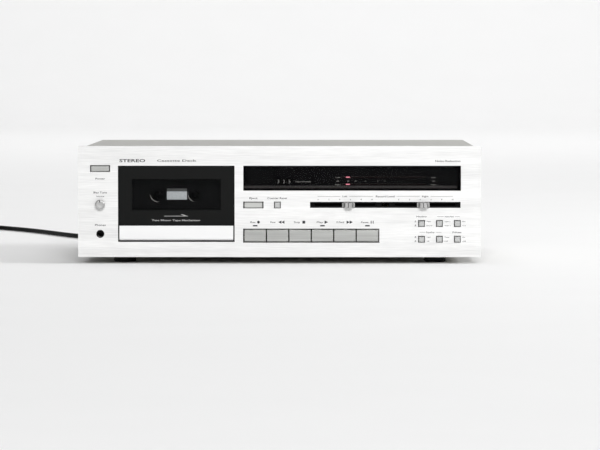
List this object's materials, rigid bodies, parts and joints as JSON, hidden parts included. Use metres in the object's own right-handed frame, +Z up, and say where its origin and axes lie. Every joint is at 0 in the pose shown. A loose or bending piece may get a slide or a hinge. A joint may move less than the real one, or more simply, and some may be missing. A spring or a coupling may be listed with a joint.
{
  "type": "cassette deck",
  "caption": "Front-loading stereo cassette deck with a tilting cassette door, push buttons, level sliders, a level meter and its mains cord.",
  "frame": {"origin": "middle of the deck's width and depth, on the surface that its feet stand on", "axes": "+X to the right as a person faces the deck, the front faces -Y, +Z up"},
  "size_m": [0.707, 0.7809, 0.131],
  "materials": {
    "zinc_steel": "zinc-plated sheet steel, satin",
    "painted_cover": "silver-grey painted sheet steel, fine texture",
    "brushed_fascia": "satin aluminium with fine horizontal brushing",
    "brushed_strip": "bright satin aluminium",
    "black_steel": "black painted sheet steel",
    "foot_rubber": "matt black moulded",
    "screw_steel": "black oxide steel",
    "smoked_acrylic": "dark smoked acrylic, polished",
    "black_plastic": "matt black moulded plastic",
    "gloss_black_plastic": "black moulded plastic",
    "led_red": "red translucent light-emitting segments",
    "switch_plastic": "grey-green moulded plastic",
    "socket_metal": "plated brass",
    "board_green": "resin board with components",
    "transformer_iron": "varnished iron core",
    "lamp_diffuser": "translucent pale diffuser",
    "motor_steel": "drawn steel can",
    "belt_rubber": "matt black rubber",
    "brass_parts": "turned brass",
    "flywheel_steel": "turned steel",
    "head_metal": "polished steel",
    "roller_rubber": "black rubber roller on a steel arm",
    "lid_plastic": "satin black moulded plastic",
    "lid_acrylic": "clear smoked acrylic",
    "holder_plastic": "matt black moulded plastic",
    "knob_metal": "satin turned aluminium",
    "key_metal": "satin warm-grey metallic caps",
    "small_key_metal": "satin warm-grey metallic caps",
    "drum_plastic": "black drums with white numbers",
    "cord_rubber": "black vinyl",
    "plug_plastic": "black moulded plug"
  },
  "bodies": {
    "deck": {"chassis_base": "zinc_steel", "top_cover": "painted_cover", "front_panel": "brushed_fascia", "front_subpanel": "black_steel", "rear_panel": "black_steel", "feet": "foot_rubber", "case_screws": "screw_steel", "display_window": "smoked_acrylic", "display_carrier": "black_plastic", "meter_leds": "led_red", "slide_controls": "black_plastic", "switch_bodies": "switch_plastic", "headphone_jack": "gloss_black_plastic", "phono_jacks": "socket_metal", "main_board": "board_green", "power_transformer": "transformer_iron", "well_frame": "black_plastic", "cassette_lamp": "lamp_diffuser", "mechanism_plate": "zinc_steel", "mechanism_bracket": "zinc_steel", "capstan_motor": "motor_steel", "reel_motor": "motor_steel", "drive_belt": "belt_rubber", "strain_relief": "cord_rubber", "power_cord": "cord_rubber", "power_cord_coil": "cord_rubber", "power_plug": "plug_plastic"},
    "door": {"cassette_lid": "lid_plastic", "lid_window": "lid_acrylic", "lid_trim_strip": "brushed_strip", "cassette_holder": "holder_plastic"},
    "record_button": {"record_button": "key_metal"},
    "rewind_button": {"rewind_button": "key_metal"},
    "stop_button": {"stop_button": "key_metal"},
    "play_button": {"play_button": "key_metal"},
    "fast_forward_button": {"fast_forward_button": "key_metal"},
    "pause_button": {"pause_button": "key_metal"},
    "power_button": {"power_button": "key_metal"},
    "eject_button": {"eject_button": "key_metal"},
    "counter_reset_button": {"counter_reset_button": "small_key_metal"},
    "tape_type_button": {"tape_type_button": "small_key_metal"},
    "equalizer_button": {"equalizer_button": "small_key_metal"},
    "noise_reduction_button": {"noise_reduction_button": "small_key_metal"},
    "source_button": {"source_button": "small_key_metal"},
    "timer_button": {"timer_button": "small_key_metal"},
    "multiplex_filter_button": {"multiplex_filter_button": "small_key_metal"},
    "level_slider_left": {"level_slider_left": "knob_metal"},
    "level_slider_right": {"level_slider_right": "knob_metal"},
    "bias_knob": {"bias_knob": "knob_metal"},
    "supply_spindle": {"supply_spindle": "black_plastic"},
    "takeup_spindle": {"takeup_spindle": "black_plastic"},
    "supply_flywheel": {"supply_flywheel": "flywheel_steel"},
    "takeup_flywheel": {"takeup_flywheel": "flywheel_steel"},
    "motor_pulley": {"motor_pulley": "brass_parts"},
    "head_base": {"head_base": "head_metal"},
    "supply_pinch_arm": {"supply_pinch_arm": "roller_rubber"},
    "takeup_pinch_arm": {"takeup_pinch_arm": "roller_rubber"},
    "counter_units_drum": {"counter_units_drum": "drum_plastic"},
    "counter_tens_drum": {"counter_tens_drum": "drum_plastic"},
    "counter_hundreds_drum": {"counter_hundreds_drum": "drum_plastic"}
  },
  "joints": [
    {"name": "door_tilt", "type": "hinge", "parent": "deck", "child": "door", "pos_m": [-0.1152, -0.1611, 0.0281], "axis": [1, 0, 0], "range_deg": [0, 20]},
    {"name": "record_button_press", "type": "slide", "parent": "deck", "child": "record_button", "axis": [0, 1, 0], "range_m": [0, 0.0015], "stiffness_N_per_m": 600, "springref_m": -0.0015},
    {"name": "rewind_button_press", "type": "slide", "parent": "deck", "child": "rewind_button", "axis": [0, 1, 0], "range_m": [0, 0.0015], "stiffness_N_per_m": 600, "springref_m": -0.0015},
    {"name": "stop_button_press", "type": "slide", "parent": "deck", "child": "stop_button", "axis": [0, 1, 0], "range_m": [0, 0.0015], "stiffness_N_per_m": 600, "springref_m": -0.0015},
    {"name": "play_button_press", "type": "slide", "parent": "deck", "child": "play_button", "axis": [0, 1, 0], "range_m": [0, 0.0015], "stiffness_N_per_m": 600, "springref_m": -0.0015},
    {"name": "fast_forward_button_press", "type": "slide", "parent": "deck", "child": "fast_forward_button", "axis": [0, 1, 0], "range_m": [0, 0.0015], "stiffness_N_per_m": 600, "springref_m": -0.0015},
    {"name": "pause_button_press", "type": "slide", "parent": "deck", "child": "pause_button", "axis": [0, 1, 0], "range_m": [0, 0.0015], "stiffness_N_per_m": 600, "springref_m": -0.0015},
    {"name": "power_button_press", "type": "slide", "parent": "deck", "child": "power_button", "axis": [0, 1, 0], "range_m": [0, 0.0025]},
    {"name": "eject_button_press", "type": "slide", "parent": "deck", "child": "eject_button", "axis": [0, 1, 0], "range_m": [0, 0.0025], "stiffness_N_per_m": 500, "springref_m": -0.0015},
    {"name": "counter_reset_button_press", "type": "slide", "parent": "deck", "child": "counter_reset_button", "axis": [0, 1, 0], "range_m": [0, 0.0025], "stiffness_N_per_m": 400, "springref_m": -0.0015},
    {"name": "tape_type_button_press", "type": "slide", "parent": "deck", "child": "tape_type_button", "axis": [0, 1, 0], "range_m": [0, 0.0025]},
    {"name": "equalizer_button_press", "type": "slide", "parent": "deck", "child": "equalizer_button", "axis": [0, 1, 0], "range_m": [0, 0.0025]},
    {"name": "noise_reduction_button_press", "type": "slide", "parent": "deck", "child": "noise_reduction_button", "axis": [0, 1, 0], "range_m": [0, 0.0025]},
    {"name": "source_button_press", "type": "slide", "parent": "deck", "child": "source_button", "axis": [0, 1, 0], "range_m": [0, 0.0025]},
    {"name": "timer_button_press", "type": "slide", "parent": "deck", "child": "timer_button", "axis": [0, 1, 0], "range_m": [0, 0.0025]},
    {"name": "multiplex_filter_button_press", "type": "slide", "parent": "deck", "child": "multiplex_filter_button", "axis": [0, 1, 0], "range_m": [0, 0.0025]},
    {"name": "level_slider_left_slide", "type": "slide", "parent": "deck", "child": "level_slider_left", "axis": [1, 0, 0], "range_m": [-0.0339, 0.0261]},
    {"name": "level_slider_right_slide", "type": "slide", "parent": "deck", "child": "level_slider_right", "axis": [1, 0, 0], "range_m": [-0.0274, 0.0326]},
    {"name": "bias_knob_turn", "type": "hinge", "parent": "deck", "child": "bias_knob", "pos_m": [-0.2002, -0.1645, 0.0659], "axis": [0, -1, 0], "range_deg": [-140, 140]},
    {"name": "supply_spindle_spin", "type": "hinge", "parent": "deck", "child": "supply_spindle", "pos_m": [-0.13645, -0.1445, 0.0768], "axis": [0, 1, 0], "continuous": true},
    {"name": "takeup_spindle_spin", "type": "hinge", "parent": "deck", "child": "takeup_spindle", "pos_m": [-0.09395, -0.1445, 0.0768], "axis": [0, 1, 0], "continuous": true},
    {"name": "motor_pulley_spin", "type": "hinge", "parent": "deck", "child": "motor_pulley", "pos_m": [-0.1152, -0.1255, 0.09], "axis": [0, 1, 0], "continuous": true},
    {"name": "supply_flywheel_spin", "type": "hinge", "parent": "deck", "child": "supply_flywheel", "pos_m": [-0.1457, -0.1255, 0.0515], "axis": [0, 1, 0], "continuous": true},
    {"name": "takeup_flywheel_spin", "type": "hinge", "parent": "deck", "child": "takeup_flywheel", "pos_m": [-0.0847, -0.1255, 0.0515], "axis": [0, 1, 0], "continuous": true},
    {"name": "head_base_rise", "type": "slide", "parent": "deck", "child": "head_base", "axis": [0, 0, 1], "range_m": [0, 0.01]},
    {"name": "supply_pinch_arm_swing", "type": "hinge", "parent": "deck", "child": "supply_pinch_arm", "pos_m": [-0.1622, -0.1485, 0.03], "axis": [0, -1, 0], "range_deg": [0, 26.7]},
    {"name": "takeup_pinch_arm_swing", "type": "hinge", "parent": "deck", "child": "takeup_pinch_arm", "pos_m": [-0.0682, -0.1485, 0.03], "axis": [0, 1, 0], "range_deg": [0, 26.7]},
    {"name": "counter_units_drum_spin", "type": "hinge", "parent": "deck", "child": "counter_units_drum", "pos_m": [0.0112, -0.148, 0.0914], "axis": [1, 0, 0], "continuous": true},
    {"name": "counter_tens_drum_spin", "type": "hinge", "parent": "deck", "child": "counter_tens_drum", "pos_m": [0.005, -0.148, 0.0914], "axis": [1, 0, 0], "continuous": true},
    {"name": "counter_hundreds_drum_spin", "type": "hinge", "parent": "deck", "child": "counter_hundreds_drum", "pos_m": [-0.0012, -0.148, 0.0914], "axis": [1, 0, 0], "continuous": true}
  ],
  "couplings": [
    {"joint": "supply_flywheel_spin", "follows": "motor_pulley_spin", "ratio": 0.2177},
    {"joint": "takeup_flywheel_spin", "follows": "motor_pulley_spin", "ratio": 0.2177},
    {"joint": "counter_units_drum_spin", "follows": "takeup_spindle_spin", "ratio": 0.05},
    {"joint": "counter_tens_drum_spin", "follows": "takeup_spindle_spin", "ratio": 0.005},
    {"joint": "counter_hundreds_drum_spin", "follows": "takeup_spindle_spin", "ratio": 0.0005}
  ]
}
